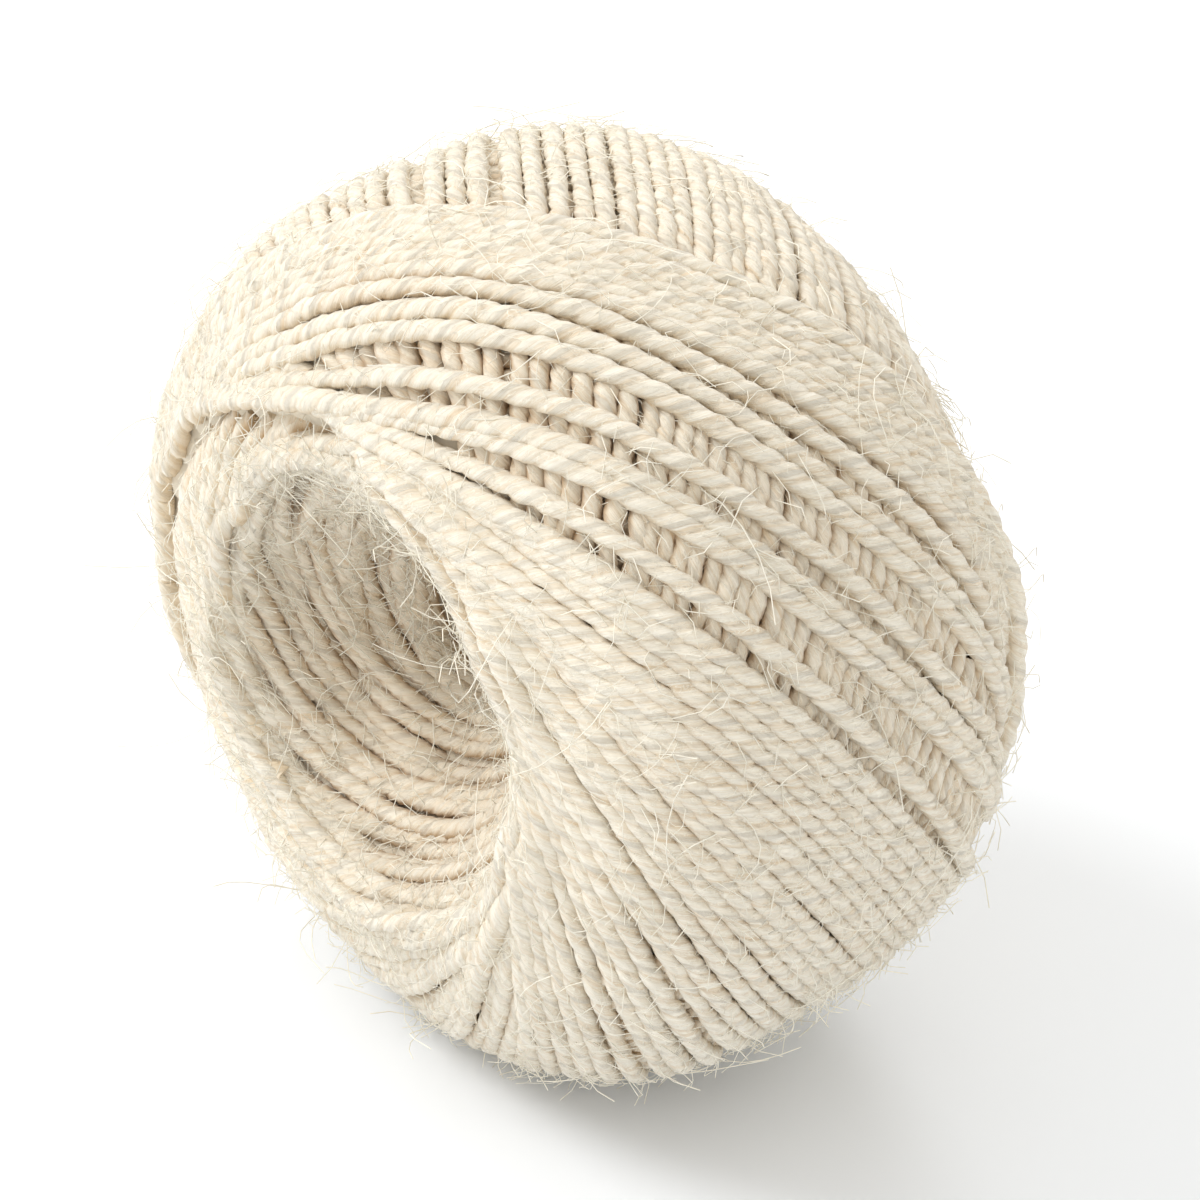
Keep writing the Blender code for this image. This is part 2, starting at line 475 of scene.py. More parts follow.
def evened(values):
    """A field's soft mean around every cell, from the rows that the turns reach."""
    latitudes = field_latitudes()
    apart = (latitudes[:, None] - latitudes[None, :]) / EVEN_LATITUDE
    weights = np.exp(-0.5 * apart ** 2) * (np.abs(latitudes) < EVEN_BELOW)[None, :]
    spread = (weights / weights.sum(axis=1, keepdims=True)) @ values
    waves = np.arange(FIELD_COLUMNS // 2 + 1)
    soft = np.exp(-0.5 * (waves * EVEN_AZIMUTH) ** 2)
    return np.fft.irfft(np.fft.rfft(spread, axis=1) * soft, n=FIELD_COLUMNS, axis=1)


def wind_to_size(ages):
    """Winds over an even depth, then over one that brings the top to the barrel all round, and
    shifts the whole winding softly by what is left between its top and the barrel."""
    depth = np.full((FIELD_ROWS, FIELD_COLUMNS), FIRST_DEPTH)
    barrel = barrel_reach(field_latitudes())[:, None]
    for left in range(SIZE_ROUNDS, 0, -1):
        surface, outs, sides, reaches = wind(ages, depth)
        excess = evened(surface.height.reshape(FIELD_ROWS, FIELD_COLUMNS) - barrel + MEAN_FALL)
        if left > 1:
            depth = depth + excess
    shift = FORM_SHARE * excess.ravel()
    reaches = reaches - smoothed(shift[surface.cells(outs)], SHIFT_SMOOTHING)
    surface.height -= shift
    return surface, outs, sides, reaches


def in_sight(surface, outs, sides, reaches):
    """Which points of the twine show, and how deep each one's top lies under the usual top."""
    show = np.zeros(len(reaches), bool)
    for share in SIGHT_SHARES:
        offset = share * TWINE_RADIUS
        cells = surface.cells(outs * reaches[:, None] + offset * sides)
        top = reaches + math.sqrt(TWINE_RADIUS ** 2 - offset ** 2)
        show |= top > surface.height[cells] - SIGHT_TOLERANCE
    latitude = np.arcsin(outs[:, 2])
    depth = barrel_reach(latitude) - TOP_FALL - reaches - TWINE_RADIUS
    rim_start, rim_end = RIM_LATITUDES
    inwards = np.clip((np.abs(latitude) - rim_start) / (rim_end - rim_start), 0.0, 1.0)
    deepest = DEEPEST_IN_SIGHT + (DEEPEST_AT_RIM - DEEPEST_IN_SIGHT) * inwards
    return show & (depth < deepest), depth


def stretches(show, margin, shortest):
    """Starts and ends of the shown stretches, each a little longer than what shows."""
    kernel = np.ones(2 * margin + 1)
    wide = np.convolve(show.astype(float), kernel, mode="same") > 0.5
    edges = np.flatnonzero(np.diff(np.concatenate([[0], wide.astype(int), [0]])))
    return [(a, b) for a, b in zip(edges[::2], edges[1::2]) if b - a > shortest]


def new_object(name, data):
    made = bpy.data.objects.new(name, data)
    bpy.context.scene.collection.objects.link(made)
    return made


def path_mesh(name, paths):
    """Loose polylines as a mesh. Each path: points, up, and one value of each attribute a point."""
    mesh = bpy.data.meshes.new(name)
    starts = np.concatenate([[0], np.cumsum([len(path["points"]) for path in paths])])
    edges = np.concatenate([np.stack([np.arange(a, b - 1), np.arange(a + 1, b)], axis=1)
                            for a, b in zip(starts, starts[1:])])
    mesh.vertices.add(starts[-1])
    mesh.edges.add(len(edges))
    mesh.vertices.foreach_set("co", np.concatenate([p["points"] for p in paths]).ravel())
    mesh.edges.foreach_set("vertices", edges.ravel().astype(np.int32))
    for label in ("along", "thickness", "tone", "deep"):
        layer = mesh.attributes.new(label, "FLOAT", "POINT")
        layer.data.foreach_set("value", np.concatenate([p[label] for p in paths]).astype(np.float32))
    layer = mesh.attributes.new("upwards", "FLOAT_VECTOR", "POINT")
    ups = np.concatenate([p["up"] for p in paths]).astype(np.float32)
    layer.data.foreach_set("vector", ups.ravel())
    mesh.update()
    return new_object(name, mesh)


def new_tree(name, inputs):
    tree = bpy.data.node_groups.new(name, "GeometryNodeTree")
    tree.interface.new_socket("Geometry", in_out="INPUT", socket_type="NodeSocketGeometry")
    for label, kind, value in inputs:
        socket = tree.interface.new_socket(label, in_out="INPUT", socket_type=kind)
        if value is not None:
            socket.default_value = value
    tree.interface.new_socket("Geometry", in_out="OUTPUT", socket_type="NodeSocketGeometry")
    return tree, tree.nodes.new("NodeGroupInput"), tree.nodes.new("NodeGroupOutput")


def add_node(tree, kind, links=None, **settings):
    """A node with its settings, its inputs set to values or linked to other nodes' outputs."""
    node = tree.nodes.new(kind)
    for key, value in settings.items():
        setattr(node, key, value)
    for key, source in (links or {}).items():
        if isinstance(source, bpy.types.NodeSocket):
            tree.links.new(source, node.inputs[key])
        else:
            node.inputs[key].default_value = source
    return node


def field(tree, name, kind="FLOAT"):
    return add_node(tree, "GeometryNodeInputNamedAttribute", {"Name": name}, data_type=kind).outputs[0]


def maths(tree, operation, first, second=0.0):
    return add_node(tree, "ShaderNodeMath", {0: first, 1: second}, operation=operation).outputs[0]


def above_floor(tree, geometry):
    """Presses flat whatever would reach below the surface that the ball rests on."""
    place = add_node(tree, "GeometryNodeInputPosition").outputs[0]
    parts = add_node(tree, "ShaderNodeSeparateXYZ", {0: place})
    pressed = maths(tree, "MAXIMUM", parts.outputs["Z"], 0.0)
    together = add_node(tree, "ShaderNodeCombineXYZ",
                        {"X": parts.outputs["X"], "Y": parts.outputs["Y"], "Z": pressed})
    return add_node(tree, "GeometryNodeSetPosition",
                    {"Geometry": geometry, "Position": together.outputs[0]}).outputs[0]


def stored(tree, geometry, name, value):
    return add_node(tree, "GeometryNodeStoreNamedAttribute",
                    {"Geometry": geometry, "Name": name, "Value": value},
                    data_type="FLOAT", domain="POINT").outputs[0]


def lay_twine_tree():
    """Two-ply twine along polylines. Its profile is pinched at the two grooves between the plies."""
    tree, start, end = new_tree("lay twine", (
        ("Radius", "NodeSocketFloat", TWINE_FULLNESS * TWINE_RADIUS),
        ("Lay", "NodeSocketFloat", TWINE_LAY),
        ("Groove", "NodeSocketFloat", PLY_GROOVE),
        ("Lumps", "NodeSocketFloat", TWINE_LUMPS),
        ("Sides", "NodeSocketInt", TWINE_SIDES),
        ("Twine", "NodeSocketMaterial", None),
    ))
    given = start.outputs
    lines = add_node(tree, "GeometryNodeMeshToCurve", {"Mesh": given["Geometry"]})
    turns = maths(tree, "DIVIDE", field(tree, "along"), given["Lay"])
    tilt = maths(tree, "MULTIPLY", turns, -2.0 * math.pi)
    tilted = add_node(tree, "GeometryNodeSetCurveTilt", {"Curve": lines.outputs[0], "Tilt": tilt})
    circle = add_node(tree, "GeometryNodeCurvePrimitiveCircle",
                      {"Resolution": given["Sides"], "Radius": 1.0})
    share = add_node(tree, "GeometryNodeSplineParameter")
    angle = maths(tree, "MULTIPLY", share.outputs["Factor"], 2.0 * math.pi)
    ridge = maths(tree, "POWER", maths(tree, "ABSOLUTE", maths(tree, "COSINE", angle)), RIDGE_POWER)
    width = maths(tree, "ADD", maths(tree, "MULTIPLY", ridge, given["Groove"]),
                  maths(tree, "SUBTRACT", 1.0, given["Groove"]))
    radius = maths(tree, "MULTIPLY", width, given["Radius"])
    spot = add_node(tree, "GeometryNodeInputPosition").outputs[0]
    scaled = add_node(tree, "ShaderNodeVectorMath", {0: spot, "Scale": radius}, operation="SCALE")
    pinched = add_node(tree, "GeometryNodeSetPosition",
                       {"Geometry": circle.outputs["Curve"], "Position": scaled.outputs[0]})
    profile = stored(tree, pinched.outputs[0], "around", share.outputs["Factor"])
    profile = stored(tree, profile, "ridge", ridge)
    tube = add_node(tree, "GeometryNodeCurveToMesh",
                    {"Curve": tilted.outputs[0], "Profile Curve": profile,
                     "Scale": field(tree, "thickness"), "Fill Caps": True})
    place = add_node(tree, "GeometryNodeInputPosition").outputs[0]
    lumps = add_node(tree, "ShaderNodeTexNoise", {"Vector": place, "Scale": LUMP_SCALE, "Detail": 2.0})
    swell = maths(tree, "MULTIPLY", maths(tree, "SUBTRACT", lumps.outputs["Fac"], 0.5), given["Lumps"])
    normal = add_node(tree, "GeometryNodeInputNormal").outputs[0]
    outward = add_node(tree, "ShaderNodeVectorMath", {0: normal, "Scale": swell}, operation="SCALE")
    uneven = add_node(tree, "GeometryNodeSetPosition",
                      {"Geometry": tube.outputs[0], "Offset": outward.outputs[0]})
    rested = above_floor(tree, uneven.outputs[0])
    facing = add_node(tree, "ShaderNodeVectorMath",
                      {0: normal, 1: field(tree, "upwards", "FLOAT_VECTOR")}, operation="DOT_PRODUCT")
    marked = stored(tree, rested, "facing", facing.outputs["Value"])
    smooth = add_node(tree, "GeometryNodeSetShadeSmooth", {"Geometry": marked})
    real = add_node(tree, "GeometryNodeRealizeInstances", {"Geometry": smooth.outputs[0]})
    dressed = add_node(tree, "GeometryNodeSetMaterial",
                       {"Geometry": real.outputs[0], "Material": given["Twine"]})
    tree.links.new(dressed.outputs[0], end.inputs[0])
    return tree


def apply_tree(holder, tree, values):
    """Runs a tree on an object with the named inputs, and makes the result a plain mesh."""
    modifier = holder.modifiers.new(tree.name, "NODES")
    modifier.node_group = tree
    sockets = {item.name: item.identifier for item in tree.interface.items_tree if item.in_out == "INPUT"}
    for label, value in values.items():
        modifier[sockets[label]] = value
    graph = bpy.context.evaluated_depsgraph_get()
    mesh = bpy.data.meshes.new_from_object(holder.evaluated_get(graph), depsgraph=graph)
    mesh.name = holder.name
    holder.modifiers.clear()
    old = holder.data
    holder.data = mesh
    bpy.data.meshes.remove(old)
    return holder


def winding_paths(outs, sides, reaches, show, deep, rng):
    """One path for every stretch of twine that shows."""
    points = to_world(outs * reaches[:, None])
    points[:, 2] = np.maximum(points[:, 2], LOWEST_CENTRE)
    steps = np.linalg.norm(np.diff(points, axis=0), axis=1)
    along = np.concatenate([[0.0], np.cumsum(steps)])
    up = to_world(outs) - np.array([0.0, 0.0, AXIS_HEIGHT])
    knots = np.arange(0.0, along[-1] + SLUB_LENGTH, SLUB_LENGTH)
    thickness = 1.0 + SLUB_SHARE * np.interp(along, knots, rng.normal(0.0, 1.0, len(knots)))
    paths = []
    for first, last in stretches(show, STRETCH_MARGIN, SHORTEST_STRETCH):
        pick = np.arange(first, last, WINDING_STRIDE)
        paths.append({
            "points": points[pick], "up": up[pick], "along": along[pick],
            "thickness": thickness[pick],
            "tone": np.full(len(pick), (first // TURN_POINTS * TONE_STEP) % 1.0),
            # Painted shade, by how deep the twine lies under the usual top
            "deep": np.clip(deep[pick] / SUNK_DEPTH, 0.0, 1.0),
        })
    return paths


def wall_profile():
    """Points and outward directions from the face over the lip of the hole and down its wall."""
    radii = FACE_STEP * np.linspace(FACE_STEPS, 0.0, FACE_POINTS) + RIM_RADIUS
    face = np.stack([radii, face_height(radii)], axis=1)
    shares = np.linspace(*WALL_SHARES, WALL_POINTS)[:, None]
    foot = np.array([HOLE_RADIUS, HOLE_HALF_LENGTH])
    wall = face[-1] + (foot - face[-1]) * shares
    points = np.concatenate([face, wall])
    length = np.concatenate([[0.0], np.cumsum(np.linalg.norm(np.diff(points, axis=0), axis=1))])
    fine = np.linspace(0.0, length[-1], PROFILE_POINTS)
    points = np.stack([np.interp(fine, length, column) for column in points.T], axis=1)
    reach = int(LIP_ROUNDING / (fine[1] - fine[0]))
    window = np.ones(2 * reach + 1) / (2 * reach + 1)
    inner = np.stack([np.convolve(column, window, mode="valid") for column in points.T], axis=1)
    fine = fine[reach:-reach]
    along = unit(np.gradient(inner, axis=0))
    normal = np.stack([along[:, 1], -along[:, 0]], axis=1)
    down = fine - np.interp(RIM_RADIUS, radii[::-1], length[:len(radii)][::-1])
    return down, inner, normal


def wall_slant():
    """Length of the wall from the rim to its foot."""
    return math.hypot(RIM_RADIUS - HOLE_RADIUS, face_height(RIM_RADIUS) - HOLE_HALF_LENGTH)


def eased(values, width):
    """Running mean along an open row."""
    padded = np.concatenate([np.full(width, values[0]), values, np.full(width, values[-1])])
    return np.convolve(padded, np.ones(width) / width, mode="same")[width:-width]


class Wall(Field):
    """Twine on the wall of one hole, over the wall's profile. Rows run in over the lip and down."""

    def __init__(self, side, surface, rng):
        self.down, self.profile, self.normals = wall_profile()
        self.rows = int((self.down[-1] - self.down[0]) / WALL_CELL)
        row_down = self.down[0] + WALL_CELL * np.arange(self.rows)
        radius, height = (np.interp(row_down, self.down, column) for column in self.profile.T)
        azimuth = 2.0 * math.pi * np.arange(WALL_COLUMNS) / WALL_COLUMNS
        cells = surface.cells(directions(azimuth[None, :], side * np.arctan2(height, radius)[:, None]))
        tops = surface.height[cells] - np.hypot(radius, height)[:, None]
        near_lip = (row_down > -LIP_SURPLUS_FROM - LIP_SURPLUS_WIDTH) & (row_down < -LIP_SURPLUS_FROM)
        surplus = smoothed(np.median(tops[near_lip], axis=0), LIP_SMOOTHING) + LIP_UNDER
        fading = np.clip(1.0 - np.maximum(row_down, 0.0) / LIP_SURPLUS_REACH, 0.0, 1.0)
        bare = WALL_BASE + fading[:, None] * np.maximum(surplus, 0.0)[None, :]
        for waves, length in WALL_SWELLS:
            rows = np.sin(2.0 * math.pi * row_down / length + rng.uniform(0.0, ANY_PHASE))
            columns = np.sin(waves * azimuth + rng.uniform(0.0, ANY_PHASE))
            bare += WALL_SWELL / 2.0 * rows[:, None] * columns[None, :]
        self.bare = bare
        on_face = (row_down < 0.0)[:, None]
        self.height = np.where(on_face, np.maximum(tops, bare), bare).ravel()
        self.heading = np.where(on_face & (tops > bare), side * surface.heading[cells], np.nan).ravel()

    def beside(self, azimuth, down, heading, offsets):
        """Cells at offsets to the side of a turn."""
        radius = np.interp(down, self.down, self.profile[:, 0])
        turned = azimuth[None] - np.sin(heading) * offsets[:, None] / radius[None]
        column = np.rint(turned / (2.0 * math.pi) * WALL_COLUMNS).astype(int) % WALL_COLUMNS
        lower = down[None] + np.cos(heading) * offsets[:, None]
        row = np.rint((lower - self.down[0]) / WALL_CELL).astype(int)
        return np.clip(row, 0, self.rows - 1) * WALL_COLUMNS + column

    def lay_turn(self, azimuth, down, heading, extra):
        """Height of the turn's centre over the profile."""
        heading = np.broadcast_to(heading, azimuth.shape)
        touch = TWINE_RADIUS * TOUCH_WIDTH * np.linspace(-1.0, 1.0, WALL_TOUCH_SPOTS)
        resting = self.rest(self.beside(azimuth, down, heading, touch), touch, heading)
        reach = eased(resting, WALL_SMOOTHING) + extra
        cover = TWINE_RADIUS * np.linspace(-COVER_WIDTH, COVER_WIDTH, WALL_COVER_SPOTS)
        tops = reach[None] + np.sqrt(TWINE_RADIUS ** 2 - cover ** 2)[:, None]
        self.lay(self.beside(azimuth, down, heading, cover), tops, heading[None])
        return reach

    def shows(self, azimuth, down, heading, reach):
        offsets = TWINE_RADIUS * np.array(WALL_SIGHT_SHARES)
        cells = self.beside(azimuth, down, np.broadcast_to(heading, azimuth.shape), offsets)
        tops = reach[None] + np.sqrt(TWINE_RADIUS ** 2 - offsets ** 2)[:, None]
        return (tops > self.height[cells] - WALL_SIGHT_TOLERANCE).any(axis=0)

    def place(self, azimuth, down, reach):
        """Points over the profile and the directions out of it."""
        around = np.stack([np.cos(azimuth), np.sin(azimuth)], axis=1)
        columns = [np.interp(down, self.down, column) for column in (*self.profile.T, *self.normals.T)]
        radius, height, out_part, up_part = columns
        up = np.column_stack([around * out_part[:, None], up_part])
        return np.column_stack([around * radius[:, None], height]) + up * reach[:, None], up


def wall_turn(wall, start, band, rng):
    """Course of one turn on a wall: azimuth, way down, heading."""
    top, bottom, fall = band
    slant = wall_slant()
    heading = math.radians(fall * rng.uniform(*FALL_SCATTER))
    length = slant * (bottom - top) / math.sin(heading) + WALL_OVERRUN
    amount = int(length / WALL_STEP)
    t = np.linspace(0.0, 1.0, amount)
    lower = slant * (top + (bottom - top) * t + WALL_WANDER * rng.normal())
    lower += slant * WALL_WANDER * np.sin(rng.uniform(*WANDER_WAVES) * t + rng.uniform(0.0, ANY_PHASE))
    radius = np.interp(lower, wall.down, wall.profile[:, 0])
    return start + np.cumsum(length / amount * math.cos(heading) / radius), lower, heading


def wall_turns(side, wall, rng):
    """Course and painted shade of every turn on one wall, from the deepest band up, and then over the
    lip.
    """
    slant = wall_slant()
    for top, bottom, fall, count, painted_shade in WALL_BANDS:
        for n in rng.permutation(count):
            scatter = rng.uniform(-WALL_START_SCATTER, WALL_START_SCATTER)
            start = 2.0 * math.pi * (n + scatter) / count
            steepness = MEAN_STEEPNESS + STEEPNESS_SWING * math.cos(start - STEEPEST_WALL_AZIMUTH)
            azimuth, lower, heading = wall_turn(wall, start, (top, bottom, fall * steepness), rng)
            # Painted shade: stronger in the deeper bands and further down the wall
            deep = np.clip(painted_shade + WALL_SHADE_RISE * (lower / slant - top), 0.0, 1.0)
            yield azimuth, lower, heading, deep
    top, bottom, fall, count = LIP_BAND
    first, last = (angle if side > 0 else angle + math.pi for angle in LIP_AZIMUTHS)
    for n in rng.permutation(count):
        scatter = rng.uniform(-LIP_START_SCATTER, LIP_START_SCATTER)
        start = first + (last - first) * ((n + scatter) / count * (1.0 + LIP_LEAD) - LIP_LEAD)
        azimuth, lower, heading = wall_turn(wall, start, (top, bottom, fall), rng)
        inside = (azimuth > first) & (azimuth < last)
        if inside.sum() > SHORTEST_LIP_TURN:
            # Painted shade: stronger further down
            deep = np.clip(LIP_SHADE_RISE * lower[inside] / slant, 0.0, 1.0)
            yield azimuth[inside], lower[inside], heading, deep


def wall_paths(side, wall, rng):
    """Turns in sight on the wall of one hole. side is 1 for the -Y face and -1 for the other."""
    laid = []
    for azimuth, lower, heading, deep in wall_turns(side, wall, rng):
        t = np.linspace(0.0, 1.0, len(azimuth))
        risen = np.minimum(1.0, np.minimum(t, 1.0 - t) * len(t) * WALL_STEP / DIVE_LENGTH)
        extra = WALL_RELIEF * min(rng.normal(), 1.0) - DIVE_DEPTH * (1.0 - risen) ** 2
        laid.append((azimuth, lower, heading, deep, wall.lay_turn(azimuth, lower, heading, extra)))
    paths = []
    for azimuth, lower, heading, deep, reach in laid:
        show = wall.shows(azimuth, lower, heading, reach)
        tone = rng.uniform()
        thickness = 1.0 + WALL_SLUB_SHARE * rng.normal()
        begin = rng.uniform(0.0, 1.0)
        for first, last in stretches(show, WALL_STRETCH_MARGIN, WALL_SHORTEST_STRETCH):
            part = slice(first, last)
            spot, up = wall.place(azimuth[part], lower[part], reach[part])
            spot[:, 2] *= side
            up[:, 2] *= side
            amount = len(spot)
            paths.append({
                "points": to_world(spot), "up": to_world(up) - np.array([0.0, 0.0, AXIS_HEIGHT]),
                "along": begin + WALL_STEP * np.arange(first, last),
                "thickness": np.full(amount, thickness), "tone": np.full(amount, tone),
                "deep": deep[part],
            })
    return paths


def ring_mesh(name, points):
    """A closed ring from rows of points, each row once round the winding axis."""
    rows, columns = points.shape[:2]
    points = to_world(points.reshape(-1, 3))
    points[:, 2] = np.maximum(points[:, 2], TWINE_RADIUS)
    faces = []
    for row in range(rows):
        here, below = row * columns, (row + 1) % rows * columns
        for column in range(columns):
            ahead = (column + 1) % columns
            faces.append((here + column, here + ahead, below + ahead, below + column))
    mesh = bpy.data.meshes.new(name)
    mesh.from_pydata(points.tolist(), [], faces)
    mesh.validate()
    mesh.polygons.foreach_set("use_smooth", [True] * len(mesh.polygons))
    return new_object(name, mesh)


def inner_body(surface, walls):
    """What lies under the turns in sight: older winding, as one closed form with its hole."""
    azimuth = np.linspace(0.0, 2.0 * math.pi, CORE_COLUMNS, endpoint=False)
    tops = surface.height.reshape(FIELD_ROWS, FIELD_COLUMNS)
    wide = FIELD_COLUMNS // CORE_COLUMNS
    rows = []
    for latitude in np.linspace(-CORE_LATITUDE, CORE_LATITUDE, CORE_ROWS):
        row = int(round((latitude + HIGHEST_LATITUDE) / CELL))
        around = np.roll(tops[row - CORE_ROW_REACH:row + CORE_ROW_REACH + 1], wide, axis=1)
        around = np.concatenate([around, around[:, :wide]], axis=1)
        low = [np.percentile(around[:, n * wide:(n + 2) * wide], CORE_PERCENTILE)
               for n in range(CORE_COLUMNS)]
        rows.append(directions(azimuth, latitude) * (np.array(low) - CORE_UNDER)[:, None])
    for side, wall in zip((1.0, -1.0), walls):
        for way in CORE_WALL[::int(side)]:
            under = wall.bare[int((way - wall.down[0]) / WALL_CELL), ::WALL_COLUMNS // CORE_COLUMNS]
            row, _ = wall.place(azimuth, np.full(CORE_COLUMNS, way), under - CORE_UNDER_WALL)
            row[:, 2] *= side
            rows.append(row)
    return ring_mesh("inner_winding", np.array(rows))


def new_material(name):
    material = bpy.data.materials.new(name)
    material.use_nodes = True
    return material, material.node_tree, material.node_tree.nodes["Principled BSDF"]


def shader_group(name, inputs, outputs):
    tree = bpy.data.node_groups.new(name, "ShaderNodeTree")
    for label, kind, value in inputs:
        socket = tree.interface.new_socket(label, in_out="INPUT", socket_type=kind)
        socket.default_value = value
    for label, kind in outputs:
        tree.interface.new_socket(label, in_out="OUTPUT", socket_type=kind)
    return tree, tree.nodes.new("NodeGroupInput"), tree.nodes.new("NodeGroupOutput")


def mixed(tree, factor, first, second):
    """The first colour, and as much of the second as the factor says."""
    return add_node(tree, "ShaderNodeMix", {0: factor, 6: first, 7: second}, data_type="RGBA").outputs[2]


def ranged(tree, value, low, high, to_low=0.0, to_high=1.0):
    limits = {"From Min": low, "From Max": high, "To Min": to_low, "To Max": to_high}
    return add_node(tree, "ShaderNodeMapRange", {"Value": value, **limits}).outputs["Result"]


def round_the_twine(tree, given, fineness, pitch, shift):
    """A place on a cylinder round the twine, shifted along from one turn to the next."""
    swirl = maths(tree, "MULTIPLY", given["Around"], 2.0 * math.pi)
    sideways = maths(tree, "MULTIPLY", maths(tree, "COSINE", swirl), fineness)
    upright = maths(tree, "MULTIPLY", maths(tree, "SINE", swirl), fineness)
    onward = maths(tree, "ADD", maths(tree, "MULTIPLY", given["Along"], pitch),
                   maths(tree, "MULTIPLY", given["Turn"], shift))
    return add_node(tree, "ShaderNodeCombineXYZ", {"X": sideways, "Y": upright, "Z": onward}).outputs[0]


def jute_streaks():
    """Fine fibre streaks that run with the plies, clumps of them, and single hairs."""
    tree, start, end = shader_group("jute streaks", (
        ("Around", "NodeSocketFloat", 0.0),
        ("Along", "NodeSocketFloat", 0.0),
        ("Turn", "NodeSocketFloat", 0.0),
        ("Fineness", "NodeSocketFloat", STREAK_FINENESS),
    ), (("Streaks", "NodeSocketFloat"), ("Clumps", "NodeSocketFloat"), ("Hairs", "NodeSocketFloat")))
    given = start.outputs
    place = round_the_twine(tree, given, given["Fineness"], STREAK_PITCH, STREAK_SHIFT)
    fine = add_node(tree, "ShaderNodeTexNoise",
                    {"Vector": place, "Scale": 1.0, "Detail": 3.0, "Roughness": 0.6})
    broad = add_node(tree, "ShaderNodeTexNoise", {"Vector": place, "Scale": CLUMP_SCALE, "Detail": 2.0})
    tree.links.new(fine.outputs["Fac"], end.inputs["Streaks"])
    tree.links.new(broad.outputs["Fac"], end.inputs["Clumps"])
    spot = round_the_twine(tree, given, HAIR_FINENESS, HAIR_PITCH, HAIR_SHIFT)
    wander = add_node(tree, "ShaderNodeTexNoise",
                      {"Vector": spot, "Scale": 1.1, "Detail": 1.0, "Distortion": 0.6})
    lines = None
    for level in HAIR_LEVELS:
        apart = maths(tree, "ABSOLUTE", maths(tree, "SUBTRACT", wander.outputs["Fac"], level))
        line = ranged(tree, apart, *HAIR_WIDTHS, 1.0, 0.0)
        lines = line if lines is None else maths(tree, "MAXIMUM", lines, line)
    tree.links.new(lines, end.inputs["Hairs"])
    return tree


def twine_material(streaks):
    material, tree, shader = new_material("cream_jute")
    masks = {label: add_node(tree, "ShaderNodeAttribute", attribute_name=label).outputs["Fac"]
             for label in ("along", "around", "ridge", "tone", "deep", "facing")}
    grain = add_node(tree, "ShaderNodeGroup", node_tree=streaks)
    for label, socket in (("around", "Around"), ("along", "Along"), ("tone", "Turn")):
        tree.links.new(masks[label], grain.inputs[socket])
    masks["clumps"] = grain.outputs["Clumps"]
    masks["hairs"] = grain.outputs["Hairs"]
    body = mixed(tree, ranged(tree, grain.outputs["Streaks"], *STREAK_RANGE), CREAM, PALE)
    # Tints in order: tone, clumps and hairs are the twine's own colour; the ridge, facing and deep tints
    # are painted shade
    for mask, low, high, strength, colour in TWINE_TINTS_AND_PAINTED_SHADE:
        body = mixed(tree, ranged(tree, masks[mask], low, high, 0.0, strength), body, colour)
    # Painted shade on the flanks of deep-lying twine
    flank = ranged(tree, masks["facing"], *SHADED_FACING, 0.0, SHADED_STRENGTH)
    shaded = maths(tree, "MULTIPLY", flank, ranged(tree, masks["deep"], *SHADED_DEEP))
    tree.links.new(mixed(tree, shaded, body, DEEP_FLANK_SHADE_UMBER), shader.inputs["Base Color"])
    shader.inputs["Roughness"].default_value = TWINE_ROUGHNESS
    shader.inputs["Specular IOR Level"].default_value = 0.25
    shader.inputs["Sheen Weight"].default_value = TWINE_SHEEN
    shader.inputs["Sheen Roughness"].default_value = 0.5
    height = maths(tree, "ADD", grain.outputs["Streaks"], maths(tree, "MULTIPLY", masks["hairs"], 0.25))
    bump = add_node(tree, "ShaderNodeBump", {"Height": height, "Strength": 0.6, "Distance": TWINE_BUMP})
    tree.links.new(bump.outputs[0], shader.inputs["Normal"])
    return material


def plain_material(name, colour):
    """One colour with a fine mottle."""
    material, tree, shader = new_material(name)
    place = add_node(tree, "ShaderNodeTexCoord").outputs["Object"]
    cloud = add_node(tree, "ShaderNodeTexNoise", {"Vector": place, "Scale": MOTTLE_SCALE, "Detail": 3.0})
    darker = tuple(MOTTLE_SHADE * c for c in colour[:3]) + (1.0,)
    shade = mixed(tree, ranged(tree, cloud.outputs["Fac"], *MOTTLE_RANGE), darker, colour)
    tree.links.new(shade, shader.inputs["Base Color"])
    shader.inputs["Roughness"].default_value = PLAIN_ROUGHNESS
    return material


